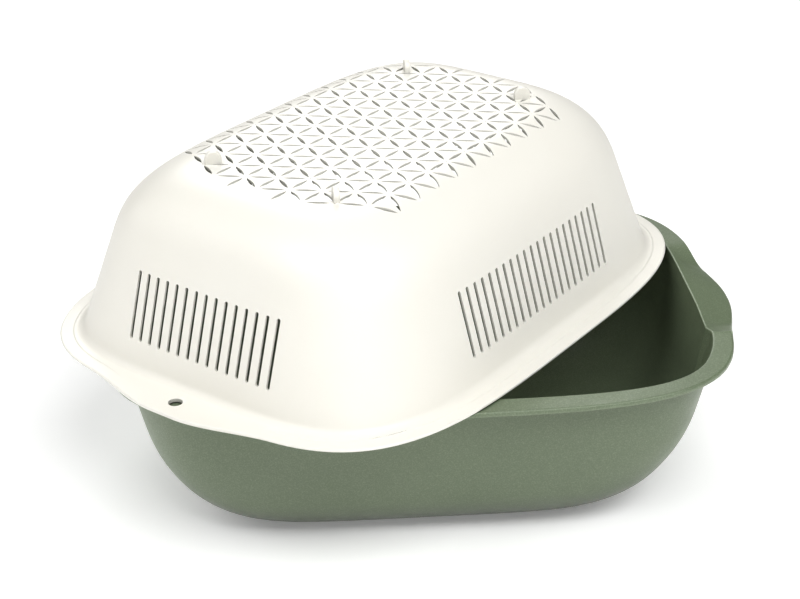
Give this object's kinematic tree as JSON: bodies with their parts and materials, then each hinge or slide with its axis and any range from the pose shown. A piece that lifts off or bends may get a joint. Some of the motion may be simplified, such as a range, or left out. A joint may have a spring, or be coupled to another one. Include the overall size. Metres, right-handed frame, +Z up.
{
  "type": "wash basin with drain basket",
  "caption": "Oval plastic wash basin with a wide grip rim, and its slotted, perforated drain basket turned over and set skewed on the rim as a hood.",
  "frame": {"origin": "centre of the basin's flat underside, where it stands on a surface", "axes": "+X along the basin's long axis, +Y towards its back, +Z up"},
  "size_m": [0.3522, 0.3394, 0.1908],
  "materials": {
    "sage_plastic": "fine satin grain",
    "ivory_plastic": "smooth satin"
  },
  "bodies": {
    "basin": {"wash_basin": "sage_plastic"},
    "basket": {"drain_basket": "ivory_plastic"}
  },
  "joints": [
    {"name": "basket_lift", "type": "slide", "parent": "basin", "child": "basket", "axis": [0, 0, 1], "range_m": [0, 0.2]}
  ]
}
